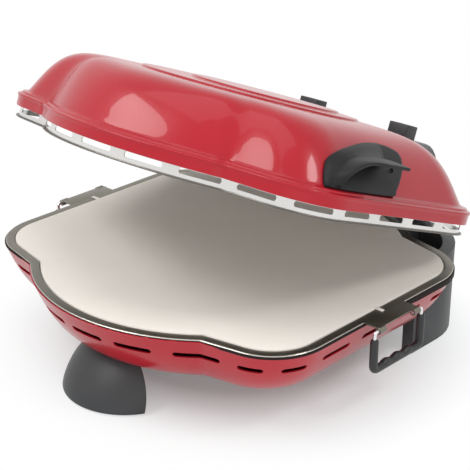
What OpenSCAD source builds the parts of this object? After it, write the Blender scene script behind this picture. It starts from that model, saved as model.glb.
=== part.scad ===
// Electric pizza maker: a lobed stone hearth in an enamelled bowl under a hinged dome lid.
// Plan frame: origin at the centre of the stone's top face, +X right, +Y to the hinge, +Z up.

/* [Plan outline] */
// Radius of the round front and rear edges of the stone
arc_r = 145; // [138:1:152]
// Distance of each edge's centre from the plan's centre
arc_shift = 18; // [15:1:21]
// Square distance from the plan's centre to a slanting lobe edge
lobe_reach = 143.5; // [141:0.5:146]
// Slant of the lobe edges from the left-right direction, degrees
lobe_slant = 12; // [10:1:14]
// Half the stone's width across its straight sides
half_w = 165; // [160:1:170]
// Corner radius of the four lobes
corner_r = 40; // [34:1:46]

/* [Hearth] */
// Height of the stone's top above the table
stone_top = 85; // [82:1:92]
// Thickness of the stone
stone_t = 14; // [12:1:16]
// Width of the tray's flange around the stone
flange_w = 8; // [6:0.5:9]
// Sheet thickness of the tray and the reflectors
sheet = 1; // [0.8:0.1:1.2]
// Depth of the bowl below its rim
bowl_depth = 51; // [48:0.5:53]
// Thickness of the enamelled bowl and dome
shell_t = 1.2; // [1:0.1:1.6]
// Length of a long cooling slot in the bowl
slot_l = 34; // [28:1:38]
// Height of a cooling slot in the bowl
slot_h = 5; // [4:0.2:5.8]

/* [Lid] */
// Opening angle of the lid as it stands, degrees
lid_open = 21.3; // [18:0.1:28]
// Height of the dome's crown above its ledge
dome_h = 49; // [46:1:52]
// How far the crown leans to the front
crown_lead = 50; // [46:1:54]
// Height of the red band round the lid
band_h = 10; // [9:0.5:12]
// Height of the steel skirt below the red band
skirt_h = 9.5; // [9:0.5:11]
// Radius of the outer ring pressed into the crown
ring_r = 94; // [90:1:98]
// Height of the blocks that the opened lid rests on
rest_h = 13; // [11:0.5:14]

/* [Hinge] */
// Distance of the hinge axis behind the stone's rear edge
hinge_setback = 17.5; // [17:0.5:20]
// Drop of the hinge axis below the stone's top
hinge_drop = 1.5; // [1:0.5:3]
// Radius of the hinge pins
pin_r = 2.5; // [2:0.1:3]
// Outer radius of the hinge knuckles
knuckle_r = 6.5; // [6:0.25:7]

/* [Handles] */
// Half the width of a tray tab, across the bail's feet
tab_half = 26; // [23:1:30]
// How far a tab stands out from the tray's edge
tab_l = 14; // [12:1:16]
// Radius of the bail wire
wire_r = 1.5; // [1.2:0.1:1.8]
// Drop of the bail below its pivot
bail_drop = 33; // [30:1:38]
// Radius of the bail's heat-proof sleeve
sleeve_r = 3.4; // [3:0.1:3.8]
// Distance of the lid's grip in front of the plan's centre
grip_front = 42; // [38:1:46]
// Half the width of the lid's grip
grip_half = 53; // [48:1:56]

/* [Feet] */
// Radius of the front foot on the table
foot_r = 55; // [51:1:57]
// Thickness of the rear legs' curved wall
leg_t = 11; // [9:1:12]
// Distance of each rear leg's outside inward of the stone's side
leg_inset = 22; // [19:1:25]
// Radius of the rear legs' rounded corner
leg_r = 58; // [54:1:60]
// Radius of the thermostat knob
knob_r = 12; // [10:0.5:13]

/* [Hidden] */
$fn = 48;
fit = 0.05;
gap = 0.4;
eps = 0.01;
far = 500;

// ---- plan outline -------------------------------------------------------------------------

arc_steps = 9;
corner_steps = 6;

function heading(a) = [sin(a), -cos(a)];
function notch_angle(off) =
    lobe_slant + acos((lobe_reach + off - arc_shift * cos(lobe_slant)) / (arc_r + off));
corner_x = half_w - corner_r;
corner_y = (corner_x * sin(lobe_slant) + corner_r - lobe_reach) / cos(lobe_slant);

function front_arc(off) = [
    for (i = [0 : arc_steps])
        [0, -arc_shift] + (arc_r + off) * heading(notch_angle(off) * i / arc_steps)
];
function corner_arc(off) = [
    for (i = [0 : corner_steps])
        [corner_x, corner_y]
            + (corner_r + off) * heading(lobe_slant + (90 - lobe_slant) * i / corner_steps)
];
function backwards(p) = [for (i = [len(p) - 1 : -1 : 0]) p[i]];
function flip_x(p) = [for (q = p) [-q.x, q.y]];
function flip_y(p) = [for (q = p) [q.x, -q.y]];
function inner_points(p) = [for (i = [1 : len(p) - 2]) p[i]];
function right_half(off) =
    let (quarter = concat(front_arc(off), corner_arc(off)))
    concat(quarter, flip_y(backwards(quarter)));
function outline(off) =
    let (right = right_half(off))
    concat(right, flip_x(backwards(inner_points(right))));

// Position and direction after walking a distance along a closed outline.
function walk(p, distance, i = 0) =
    let (a = p[i], b = p[(i + 1) % len(p)], step = norm(b - a))
    distance <= step
        ? [a + (b - a) * distance / step, atan2(b.y - a.y, b.x - a.x)]
        : walk(p, distance - step, (i + 1) % len(p));
function perimeter(p, i = 0) =
    i == len(p) ? 0 : norm(p[(i + 1) % len(p)] - p[i]) + perimeter(p, i + 1);

// A ring of the outline, offset, shrunk towards a point and lifted.
function ring(off, z, s = 1, lead = 0) = [for (p = outline(off)) [p.x * s, p.y * s - lead * (1 - s), z]];

// Joins rings of equal length into one closed solid.
module loft(rings) {
    n = len(rings[0]);
    last = len(rings) - 1;
    points = [for (r = rings) each r];
    sides = [
        for (k = [0 : last - 1], i = [0 : n - 1])
            let (a = k * n + i, b = k * n + (i + 1) % n)
            each [[a, b + n, b], [a, a + n, b + n]]
    ];
    caps = [[for (i = [0 : n - 1]) i], [for (i = [n - 1 : -1 : 0]) last * n + i]];
    polyhedron(points, concat(sides, caps));
}

module band(outer, inner, low, high) {
    translate([0, 0, low])
        linear_extrude(high - low)
            difference() {
                polygon(outline(outer));
                polygon(outline(inner));
            }
}

module rod(a, b, r) {
    d = b - a;
    translate(a)
        rotate([0, acos(d.z / norm(d)), atan2(d.y, d.x)])
            cylinder(r = r, h = norm(d));
}

module both_sides() {
    children();
    mirror([1, 0, 0]) children();
}

// ---- heights in the plan frame --------------------------------------------------------------

table_z = -stone_top;
flange_top = -1;
bead_w = 1;
bead_rise = 0.7;
bead_drop = 1.3;
tray_gap = 0.6;
tray_off = flange_w + 0.4;
ledge_w = 14;
rim_margin = 1.1;
gasket_inset = 0.2;
gasket_t = 0.8;
rim_off = tray_off + rim_margin;
rim_z = flange_top - bead_drop - gasket_t;
lip_inner = tray_gap + sheet + 0.9;
edge_y = arc_r + arc_shift;
bowl_bottom = rim_z - bowl_depth;
bowl_power = 11.2;
bowl_ease = 1.12;
centre_share = 0.12;
hearth_z = bowl_bottom + shell_t;

function rounded(s, power, ease) = pow(1 - pow(s, power), ease);
// Shares of the outline from the centre out, closer together towards the rim.
function shares(n) = [for (i = [0 : n]) centre_share + (1 - centre_share) * (1 - pow(1 - i / n, 2))];

// ---- frames ---------------------------------------------------------------------------------

hinge_y = edge_y + hinge_setback;
hinge_z = -hinge_drop;
lid_gap = 0.35;
lid_lift = skirt_h + lid_gap;

module in_plan() {
    translate([0, plan_y, stone_top]) children();
}

// The lid's frame has z = 0 at the lower edge of its red band and turns about the hinge.
module on_lid() {
    in_plan()
        translate([0, hinge_y, hinge_z])
            rotate([-lid_open, 0, 0])
                translate([0, -hinge_y, lid_lift - hinge_z])
                    children();
}

// ---- bowl -----------------------------------------------------------------------------------

bowl_steps = 9;

function bowl_rings(off, lift) = [
    for (s = shares(bowl_steps))
        ring(rim_off + off, rim_z + lift - bowl_depth * rounded(s, bowl_power, bowl_ease), s)
];

// The filled bowl, used to cut whatever seats against it.
module bowl_solid(grow) {
    loft(concat(bowl_rings(grow, -grow), [ring(rim_off + grow, rim_z + eps)]));
}

slot_drop = 14.4;
slot_reach = 8;
slot_pitch = 46;
front_slots = [-38, 7, 53];
notch_slot = 108;
corner_slots = [155, 191];
side_slots = [237, 287];
rear_slots = 16;

module cooling_slot(distance, length) {
    spot = walk(outline(rim_off), distance);
    translate([spot[0].x, spot[0].y, rim_z - slot_drop])
        rotate([90, 0, spot[1]])
            linear_extrude(2 * slot_reach, center = true) {
                square([length - slot_h, slot_h], center = true);
                for (side = [-1, 1])
                    translate([side * (length - slot_h) / 2, 0]) circle(d = slot_h, $fn = 12);
            }
}

// Slots at distances along the rim from the middle of the front.
module cooling_slots() {
    total = perimeter(outline(rim_off));
    first_rear = side_slots[1] + slot_pitch;
    rear_pitch = (total + front_slots[0] - slot_pitch - first_rear) / rear_slots;
    for (distance = front_slots) cooling_slot((distance + total) % total, slot_l);
    cooling_slot(notch_slot, 1.2 * slot_l);
    for (distance = corner_slots) cooling_slot(distance, 0.65 * slot_l);
    for (distance = side_slots) cooling_slot(distance, slot_l);
    for (k = [0 : rear_slots]) cooling_slot(first_rear + k * rear_pitch, 0.9 * slot_l);
}

cover_r = 78;
service_r = 64;
wire_hole_r = 12;
wire_y = edge_y - 17;
lead_y = wire_y + 2;

module wire_passage() {
    translate([0, lead_y, bowl_bottom - 5]) cylinder(r = wire_hole_r, h = bowl_depth / 2);
}

module base_shell() {
    color("firebrick")
        in_plan()
            difference() {
                loft(concat(
                    bowl_rings(0, 0),
                    [ring(lip_inner, rim_z), ring(lip_inner, rim_z - shell_t)],
                    backwards(bowl_rings(-shell_t, shell_t))
                ));
                cooling_slots();
                translate([0, 0, bowl_bottom - 1]) cylinder(r = service_r, h = shell_t + 2);
                wire_passage();
            }
}

module rim_gasket() {
    color("black") in_plan() band(rim_off - gasket_inset, lip_inner + 2, rim_z, rim_z + gasket_t);
}

// ---- tray, stone and bails ------------------------------------------------------------------

tray_x = half_w + tray_off;
pivot_x = tray_x + tab_l;
curl_r = wire_r + 1.4;
pivot_z = flange_top - curl_r + 0.4;
curl_l = 8;
lug_w = 3.4;
bail_side = 4;

module tray_tab() {
    translate([tray_x - 1, -tab_half, flange_top - sheet])
        cube([tab_l + 1, 2 * tab_half, sheet]);
    for (side = [-1, 1])
        translate([pivot_x, side * (tab_half - curl_l / 2), pivot_z])
            rotate([90, 0, 0])
                cylinder(r = curl_r, h = curl_l, center = true);
}

module tab_bore() {
    translate([pivot_x, 0, pivot_z])
        rotate([90, 0, 0])
            cylinder(r = wire_r + fit, h = 2 * tab_half + 2, center = true);
}

module tray() {
    floor_z = -stone_t;
    color("slategray")
        in_plan()
            difference() {
                union() {
                    band(tray_off, tray_gap, flange_top - sheet, flange_top);
                    band(tray_off, tray_off - bead_w, flange_top - bead_drop, flange_top + bead_rise);
                    band(tray_gap + sheet, tray_gap, floor_z - sheet, flange_top - sheet / 2);
                    band(tray_gap + sheet, -ledge_w, floor_z - sheet, floor_z);
                    both_sides() tray_tab();
                }
                both_sides() tab_bore();
            }
}

module pizza_stone() {
    color("linen")
        in_plan() {
            translate([0, 0, -stone_t]) linear_extrude(stone_t) polygon(outline(0));
            both_sides()
                translate([half_w - 1, -lug_w / 2, flange_top])
                    cube([tray_off - bead_w + 1, lug_w, -flange_top]);
        }
}

bail_y = tab_half + bail_side;
bail_z = pivot_z - bail_drop;
sleeve_top = pivot_z - 6;
wave_rise = 1.6;
wave_count = 3;
wave_steps = 8;
grip_t = 4.6;

module bail_path(r) {
    for (side = [-1, 1]) {
        foot = [pivot_x, side * bail_y, pivot_z];
        corner = [pivot_x, side * bail_y, bail_z];
        rod([pivot_x, side * (tab_half - curl_l), pivot_z], foot, r);
        rod(foot, corner, r);
        translate(foot) sphere(r);
        translate(corner) sphere(r);
    }
    rod([pivot_x, -bail_y, bail_z], [pivot_x, bail_y, bail_z], r);
}

// The finger waves on the upper side of the bail's bar.
module finger_waves() {
    run = 2 * (bail_y - sleeve_r) - 8;
    crest = [
        for (i = [0 : wave_count * wave_steps])
            [run * (i / (wave_count * wave_steps) - 0.5),
             sleeve_r - 0.6 + wave_rise * pow(sin(180 * i / wave_steps), 2)]
    ];
    translate([pivot_x, 0, bail_z])
        rotate([90, 0, 90])
            linear_extrude(grip_t, center = true)
                polygon(concat([[-run / 2, 0]], crest, [[run / 2, 0]]));
}

module bail_sleeve() {
    difference() {
        union() {
            for (side = [-1, 1]) {
                rod([pivot_x, side * bail_y, sleeve_top], [pivot_x, side * bail_y, bail_z], sleeve_r);
                translate([pivot_x, side * bail_y, bail_z]) sphere(sleeve_r);
            }
            rod([pivot_x, -bail_y, bail_z], [pivot_x, bail_y, bail_z], sleeve_r);
            finger_waves();
        }
        bail_path(wire_r);
    }
}

module bail_wire_right() { color("silver") in_plan() bail_path(wire_r); }
module bail_wire_left() { color("silver") in_plan() mirror([1, 0, 0]) bail_path(wire_r); }
module bail_sleeve_right() { color("dimgray") in_plan() bail_sleeve(); }
module bail_sleeve_left() { color("dimgray") in_plan() mirror([1, 0, 0]) bail_sleeve(); }

// ---- heating in the bowl --------------------------------------------------------------------

dish_r = 122;
dish_rise = 9;
dish_z = hearth_z + 12;
spacer_r = 4;
spacer_ring = 95;
element_r = 3.2;
element_ring = 100;
element_gap = 24;
joint_swell = 1.12;
lead_r = 1.5;
element_z = dish_z + 14;
brackets = 4;

module dish(r, rise) {
    rotate_extrude($fn = 96) {
        square([r, sheet]);
        translate([r - sheet, 0]) square([sheet, rise]);
    }
}

// A round heating element, open at the rear, with two straight ends.
module element() {
    rotate([0, 0, 90 + element_gap / 2])
        rotate_extrude(angle = 360 - element_gap, $fn = 96)
            translate([element_ring, 0]) circle(element_r);
    for (side = [-1, 1]) {
        bend = element_ring * [side * sin(element_gap / 2), cos(element_gap / 2)];
        rod([bend.x, bend.y, 0], [bend.x, wire_y, 0], element_r);
        translate([bend.x, bend.y, 0]) sphere(element_r * joint_swell);
    }
}

module element_brackets(drop) {
    for (k = [0 : brackets - 1])
        rotate([0, 0, 45 + 360 / brackets * k])
            translate([element_ring - 5, -1.5, -drop])
                cube([10, 3, drop]);
}

module lower_reflector() { color("silver") in_plan() translate([0, 0, dish_z]) dish(dish_r, dish_rise); }

module reflector_spacers() {
    color("lightgray")
        in_plan()
            for (k = [0 : 3])
                rotate([0, 0, 45 + 90 * k])
                    translate([spacer_ring, 0, hearth_z + gap])
                        cylinder(r = spacer_r, h = dish_z - hearth_z - gap);
}

module lower_heater() { color("dimgray") in_plan() translate([0, 0, element_z]) element(); }

module lower_heater_brackets() {
    color("lightgray")
        in_plan()
            difference() {
                translate([0, 0, element_z]) element_brackets(element_z - dish_z - sheet);
                translate([0, 0, element_z]) element();
            }
}

cutout_r = 8;
cutout_h = 6;

module lower_cutout() {
    color("beige") in_plan() translate([40, 0, dish_z - cutout_h]) cylinder(r = cutout_r, h = cutout_h);
}

// ---- underside ------------------------------------------------------------------------------

cover_t = 1.2;
cover_screw_ring = 71;
screw_r = 1.6;
head_r = 3.2;
head_h = 1.8;

module cover_screws(r, extra) {
    for (k = [0 : 3])
        rotate([0, 0, 45 + 90 * k])
            translate([cover_screw_ring, 0, bowl_bottom - cover_t - extra])
                cylinder(r = r, h = cover_t + shell_t + 2 * extra);
}

module bottom_cover() {
    color("gray")
        in_plan()
            difference() {
                translate([0, 0, bowl_bottom - cover_t]) cylinder(r = cover_r, h = cover_t, $fn = 96);
                cover_screws(screw_r, eps);
            }
}

module bottom_screws() {
    color("silver")
        in_plan()
            for (k = [0 : 3])
                rotate([0, 0, 45 + 90 * k])
                    translate([cover_screw_ring, 0, bowl_bottom - cover_t - head_h]) {
                        cylinder(r = head_r, h = head_h);
                        cylinder(r = screw_r, h = head_h + cover_t);
                    }
}

// ---- feet -----------------------------------------------------------------------------------

pad_drop = 1;
pad_h = 3;
pad_r = 4;
foot_wall = 3;
foot_z = table_z + pad_drop;
foot_setback = 46;
foot_y = foot_setback - edge_y;
foot_rise = bowl_bottom - foot_z + 34;
foot_lean = 46;
foot_taper = 0.38;
foot_steps = 8;
foot_sides = 48;
foot_cut_lean = 17;
foot_back = 27;

function foot_ring(t, wall) =
    let (r = foot_r * (1 - foot_taper * pow(t, 2)) - wall, y = foot_y + foot_lean * pow(t, 1.4))
    [for (i = [0 : foot_sides - 1])
        let (a = 360 * i / foot_sides)
        [r * sin(a), y - r * cos(a), foot_z + foot_rise * t]];

module foot_body(wall) {
    loft([for (k = [0 : foot_steps]) foot_ring(k / foot_steps, wall)]);
}

module front_foot() {
    color("dimgray")
        in_plan()
            difference() {
                foot_body(0);
                translate([0, 0, -eps]) foot_body(foot_wall);
                translate([-far / 2, foot_y - foot_back, foot_z - eps])
                    rotate([-foot_cut_lean, 0, 0])
                        translate([0, 0, -far / 2]) cube(far);
                bowl_solid(0);
                foot_pad_at(0, foot_y - foot_r + pad_r + 4);
            }
}

module foot_pad_at(x, y) {
    translate([x, y, table_z]) cylinder(r = pad_r, h = pad_h);
}

leg_straight = 38;
house_back = edge_y + 18;
leg_x = half_w - leg_inset;
leg_corner_x = leg_x - leg_r;
leg_corner_y = house_back - leg_r;
leg_y = leg_corner_y - leg_straight;
leg_top = rim_z - 1.5;
leg_split = leg_corner_x - 0.5;
leg_steps = 10;

function leg_arc(off) = [
    for (i = [0 : leg_steps])
        [leg_corner_x, leg_corner_y]
            + (leg_r + off) * [cos(90 * i / leg_steps), sin(90 * i / leg_steps)]
];

module leg_outline() {
    difference() {
        polygon(concat([[leg_x, leg_y]], leg_arc(0), [[leg_split, leg_corner_y + leg_r], [leg_split, leg_y]]));
        polygon(concat(
            [[leg_x - leg_t, leg_y - 1]],
            leg_arc(-leg_t),
            [[leg_split - 1, leg_corner_y + leg_r - leg_t], [leg_split - 1, leg_y - 1]]
        ));
    }
}

leg_pad_y = leg_y + 9;
leg_pad_x = leg_x - leg_t / 2;
leg_rear_angle = 50;
leg_rear_pad = [leg_corner_x, leg_corner_y] + (leg_r - leg_t / 2) * [cos(leg_rear_angle), sin(leg_rear_angle)];

module leg_pads() {
    foot_pad_at(leg_pad_x, leg_pad_y);
    foot_pad_at(leg_rear_pad.x, leg_rear_pad.y);
}

module rear_leg() {
    difference() {
        translate([0, 0, foot_z]) linear_extrude(leg_top - foot_z) leg_outline();
        bowl_solid(0.1);
        leg_pads();
    }
}

module rear_leg_right() { color("dimgray") in_plan() rear_leg(); }

knob_y = leg_y + 19;
knob_z = foot_z + 16;
shaft_r = 3;
lamp_r = 4;
lamp_angle = 28;

module at_knob() {
    translate([-leg_x, knob_y, knob_z]) rotate([0, -90, 0]) children();
}

module at_lamp() {
    translate([-leg_corner_x, leg_corner_y, knob_z])
        rotate([0, 0, 180 - lamp_angle])
            translate([leg_r, 0, 0])
                rotate([0, 90, 0])
                    children();
}

module rear_leg_left() {
    color("dimgray")
        in_plan()
            difference() {
                mirror([1, 0, 0]) rear_leg();
                at_knob() translate([0, 0, -leg_t - 1]) cylinder(r = shaft_r + 0.3, h = leg_t + 2);
                at_lamp() translate([0, 0, -leg_t - 1]) cylinder(r = lamp_r, h = leg_t + 2);
            }
}

module foot_pads() {
    color("black")
        in_plan() {
            foot_pad_at(0, foot_y - foot_r + pad_r + 4);
            both_sides() leg_pads();
        }
}

// ---- rear housing and hinge -----------------------------------------------------------------

wall = 2.5;
house_x = leg_split - 0.3;
house_depth = 46;
house_front = house_back - house_depth;
house_rear_wall = 6;
house_drop = 18;
house_low = bowl_bottom - house_drop;
ear_w = 7;
arm_w = 17;
ear_gap = 0.3;
ear_inset = 0.4;
hinge_x = house_x - ear_inset - ear_w - ear_gap - arm_w / 2;
gland_r = 6;
gland_flange = 3;
gland_y = house_back - house_rear_wall - gland_r - 4;

module ear() {
    rotate([90, 0, 90])
        linear_extrude(ear_w) {
            translate([hinge_y, hinge_z]) circle(knuckle_r);
            polygon([
                [hinge_y - knuckle_r, hinge_z], [hinge_y + knuckle_r, hinge_z],
                [house_back, hinge_z - 2.4 * knuckle_r], [house_back - 8, hinge_z - 2.4 * knuckle_r]
            ]);
        }
}

module ears() {
    for (side = [-1, 1])
        translate([hinge_x + side * (arm_w / 2 + ear_gap + ear_w / 2) - ear_w / 2, 0, 0]) ear();
}

module pin_bore(r) {
    translate([0, hinge_y, hinge_z]) rotate([0, 90, 0]) cylinder(r = r, h = far);
}

lead_x = 6;

pocket_depth = 3.5;
pocket_drop = 42;

// Room for a hinge knuckle, and for its arm when the lid lies open.
module knuckle_relief() {
    translate([hinge_x - arm_w / 2 - ear_gap, hinge_y, hinge_z])
        rotate([0, 90, 0])
            cylinder(r = knuckle_r + 0.5, h = arm_w + 2 * ear_gap);
    translate([hinge_x - arm_w / 2 - ear_gap, house_back - pocket_depth, hinge_z - pocket_drop])
        cube([arm_w + 2 * ear_gap, pocket_depth + 1, pocket_drop]);
}

module rear_housing() {
    color("dimgray")
        in_plan()
            difference() {
                union() {
                    translate([-house_x, house_front, house_low])
                        cube([2 * house_x, house_back - house_front, leg_top - house_low]);
                    both_sides() ears();
                }
                translate([-house_x + wall, house_front + wall, house_low + wall])
                    cube([2 * (house_x - wall), house_back - house_front - wall - house_rear_wall, bowl_bottom - house_low - wall]);
                bowl_solid(0.1);
                both_sides() pin_bore(pin_r + fit);
                both_sides() knuckle_relief();
                wire_passage();
                translate([0, gland_y, house_low - 1]) cylinder(r = gland_r, h = wall + 2);
            }
}

module hinge_pin() {
    reach = arm_w / 2 + ear_gap + ear_w;
    translate([hinge_x - reach, hinge_y, hinge_z])
        rotate([0, 90, 0])
            cylinder(r = pin_r, h = 2 * reach);
}

module hinge_pin_right() { color("silver") in_plan() hinge_pin(); }
module hinge_pin_left() { color("silver") in_plan() mirror([1, 0, 0]) hinge_pin(); }

block_h = 12;
block_w = 40;
block_l = 14;
lead_gap = 0.2;

// A lead from one end of an element towards a point beside the middle.
module lead_run(z, knee) {
    start = [knee.x * element_ring * sin(element_gap / 2) / lead_x, lead_y, z];
    translate(start) sphere(lead_r * joint_swell);
    rod(start, knee, lead_r);
    translate(knee) sphere(lead_r * joint_swell);
}

module terminal_block() {
    color("ivory")
        in_plan()
            translate([-block_w / 2, lead_y - block_l / 2, house_low + wall]) cube([block_w, block_l, block_h]);
}

module base_wires() {
    knee_z = bowl_bottom + bowl_depth / 3;
    block_top = house_low + wall + block_h + lead_gap;
    color("white")
        in_plan()
            for (side = [-1, 1]) {
                lead_run(element_z, [side * lead_x, lead_y, knee_z]);
                translate([side * lead_x, lead_y, block_top]) cylinder(r = lead_r, h = knee_z - block_top);
            }
}

module cord_gland() {
    color("black")
        in_plan()
            translate([0, gland_y, house_low])
                difference() {
                    union() {
                        cylinder(r = gland_r, h = wall);
                        translate([0, 0, -gland_flange]) cylinder(r = gland_r + 2, h = gland_flange);
                    }
                    translate([0, 0, -gland_flange - 1]) cylinder(r = gland_r - 2.5, h = gland_flange + wall + 2);
                }
}

// ---- thermostat -----------------------------------------------------------------------------

plate_r = knob_r + 3;
plate_t = 0.8;
knob_h = 13;
knob_skirt_h = 3;
body_l = 16;

module thermostat() {
    color("beige")
        in_plan()
            at_knob() {
                translate([-9, -11, -leg_t - body_l]) cube([18, 22, body_l]);
                translate([0, 0, -leg_t - eps]) cylinder(r = shaft_r, h = leg_t + plate_t + 6);
            }
}

module dial_plate() {
    color("silver")
        in_plan()
            at_knob()
                difference() {
                    cylinder(r = plate_r, h = plate_t);
                    translate([0, 0, -1]) cylinder(r = shaft_r + 0.3, h = plate_t + 2);
                }
}

module thermostat_knob() {
    color("dimgray")
        in_plan()
            at_knob()
                translate([0, 0, plate_t + gap])
                    difference() {
                        union() {
                            cylinder(r = knob_r, h = knob_skirt_h);
                            cylinder(r = knob_r * 0.72, h = knob_h);
                            translate([-knob_r * 0.92, -2, 0]) cube([knob_r * 1.84, 4, knob_h]);
                        }
                        translate([0, 0, -1]) cylinder(r = shaft_r + fit, h = 7);
                    }
}

module lamp_lens() {
    color("orange")
        in_plan()
            at_lamp() {
                translate([0, 0, -leg_t]) cylinder(r = lamp_r, h = leg_t);
                cylinder(r = lamp_r + 1, h = 1.5);
            }
}

// ---- lid shell ------------------------------------------------------------------------------

band_off = rim_off + 1.5;
band_bead = 1;
dome_ledge = 5;
dome_off = band_off - dome_ledge;
dome_z = band_h + 1;
dome_power = 10;
dome_ease = 1.5;
dome_steps = 9;
step_rise = 1.6;
inner_ring_r = ring_r * 0.69;
ring_y = -8;
inner_ring_y = 12;

function dome_rings(off, lift) = [
    for (s = shares(dome_steps))
        ring(dome_off + off, dome_z + lift + dome_h * rounded(s, dome_power, dome_ease), s, crown_lead)
];

// The filled dome, used to cut whatever seats against it.
module dome_solid(grow) {
    loft(concat([ring(dome_off + grow, 0)], backwards(dome_rings(grow, grow))));
}

module crown_steps() {
    translate([0, ring_y, dome_z + dome_h / 2])
        cylinder(r = ring_r, h = dome_h / 2 + step_rise, $fn = 96);
    translate([0, inner_ring_y, dome_z + dome_h / 2])
        cylinder(r = inner_ring_r, h = dome_h / 2 + 2 * step_rise, $fn = 96);
}

module lid_wire_passage() {
    translate([0, wire_y - wire_hole_r, upper_z]) rotate([-90, 0, 0]) cylinder(r = wire_hole_r, h = far);
}

module lid_shell() {
    color("firebrick")
        on_lid() {
            difference() {
            loft(concat(
                dome_rings(-shell_t, -shell_t),
                [
                    ring(band_off - shell_t, dome_z - shell_t), ring(band_off - shell_t, 0),
                    ring(band_off, 0), ring(band_off, band_h - 2),
                    ring(band_off + band_bead, band_h - 1), ring(band_off + band_bead, band_h),
                    ring(band_off, dome_z)
                ],
                backwards(dome_rings(0, 0))
            ));
            lid_wire_passage();
            }
            difference() {
                crown_steps();
                dome_solid(-shell_t / 2);
            }
        }
}

// ---- steel skirt and heating in the lid -----------------------------------------------------

skirt_off = band_off - 4;
skirt_t = 0.8;
skirt_roll = 2.4;
vent_l = 33;
vent_h = 4.4;
vent_count = 25;
vent_z = -0.3 * skirt_h;
lip_h = 1.4;

module vents() {
    path = outline(skirt_off);
    pitch = perimeter(path) / vent_count;
    for (k = [0 : vent_count - 1]) {
        spot = walk(path, (k + eps) * pitch);
        translate([spot[0].x, spot[0].y, vent_z])
            rotate([0, 0, spot[1]])
                cube([vent_l, 8, vent_h], center = true);
    }
}

module lid_skirt() {
    color("silver")
        on_lid() {
            difference() {
                band(skirt_off, skirt_off - skirt_t, -skirt_h, dome_z - shell_t);
                vents();
            }
            band(skirt_off + skirt_roll, skirt_off - eps, -skirt_h, -skirt_h + lip_h);
        }
}

hood_off = skirt_off - skirt_t;
hood_low = 3;
hood_h = 40;
hood_power = 8;
hood_ease = 1.25;
hood_steps = 7;
hood_in = 5;
hood_top = hood_low + hood_h;

function hood_rings(off, lift) = [
    for (s = shares(hood_steps))
        ring(hood_off - hood_in + off, hood_low + lift + hood_h * rounded(s, hood_power, hood_ease), s, crown_lead / 2)
];

upper_z = hood_top - 18;

module lid_reflector() {
    color("silver")
        on_lid()
            difference() {
                loft(concat(
                    hood_rings(-sheet, -sheet),
                    [ring(hood_off, hood_low - sheet), ring(hood_off, hood_low)],
                    backwards(hood_rings(0, 0))
                ));
                for (side = [-1, 1])
                    translate([side * element_ring * sin(element_gap / 2), 0, upper_z])
                        rotate([-90, 0, 0])
                            cylinder(r = element_r + gap, h = far);
            }
}

module upper_heater() { color("dimgray") on_lid() translate([0, 0, upper_z]) element(); }

module upper_heater_brackets() {
    drop = hood_top - sheet - upper_z;
    color("lightgray")
        on_lid()
            difference() {
                intersection() {
                    translate([0, 0, upper_z + drop]) element_brackets(drop);
                    loft(concat([ring(hood_off - hood_in, 0)], backwards(hood_rings(-sheet, -sheet - gap / 2))));
                }
                translate([0, 0, upper_z]) element();
            }
}

module upper_cutout() {
    color("beige") on_lid() translate([40, 0, hood_top]) cylinder(r = cutout_r, h = cutout_h);
}

// ---- lid grip -------------------------------------------------------------------------------

pad_t = 4;
pad_low = dome_z + 1;
pad_high = pad_low + 36;
brow_t = 3.2;
brow_r = 24;
brow_steps = 8;
brow_front = -0.73 * grip_half;
brow_back = 0.92 * grip_half;
brow_z = pad_high - brow_r - 9;
brow_reach = 12;

// The grip's outline on the side of the dome, seen along X.
function pad_outline() = [
    [-grip_half, pad_low], [0.44 * grip_half, pad_low], [0.8 * grip_half, pad_low + 10],
    [grip_half, pad_low + 27], [grip_half, pad_high - 3], [0.4 * grip_half, pad_high],
    [-0.08 * grip_half, pad_high - 3], [-0.55 * grip_half, pad_high - 9], [-0.94 * grip_half, pad_high - 20]
];

// The brow rises in a quarter circle from the front and runs level to the rear.
function brow_arc(r) = [
    for (i = [0 : brow_steps])
        [brow_front + brow_r, brow_z] + r * [-cos(90 * i / brow_steps), sin(90 * i / brow_steps)]
];
function brow_outline() = concat(
    brow_arc(brow_r),
    [[brow_back, brow_z + brow_r - 2], [brow_back, brow_z + brow_r - 2 - brow_t / 2]],
    backwards(brow_arc(brow_r - brow_t))
);

module along_x(low, high) {
    translate([low, 0, 0]) rotate([90, 0, 90]) linear_extrude(high - low) children();
}

module brow_plan() {
    bow = 3 * grip_half;
    translate([half_w + brow_reach - bow, 0]) circle(r = bow, $fn = 96);
}

module lid_grip_solid() {
    intersection() {
        translate([0, -grip_front, 0]) along_x(half_w / 2, half_w + brow_reach) polygon(pad_outline());
        dome_solid(pad_t);
    }
    translate([0, -grip_front, 0])
        intersection() {
            along_x(half_w / 2, half_w + brow_reach) polygon(brow_outline());
            linear_extrude(far / 2) brow_plan();
        }
}

module lid_grip() {
    color("dimgray")
        on_lid()
            difference() {
                lid_grip_solid();
                dome_solid(0.1);
            }
}

// ---- rear of the lid ------------------------------------------------------------------------

cap_margin = 9.5;
cap_half = hinge_x + arm_w / 2 + cap_margin;
cap_flat = 64;
cap_top = dome_z + dome_h - 8;
cap_low = 2;
cap_depth = 75;
cap_corner_z = 8;
cap_back = edge_y + band_off + band_bead + 3;
cap_front = cap_back - cap_depth;
cap_steps = 8;

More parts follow.
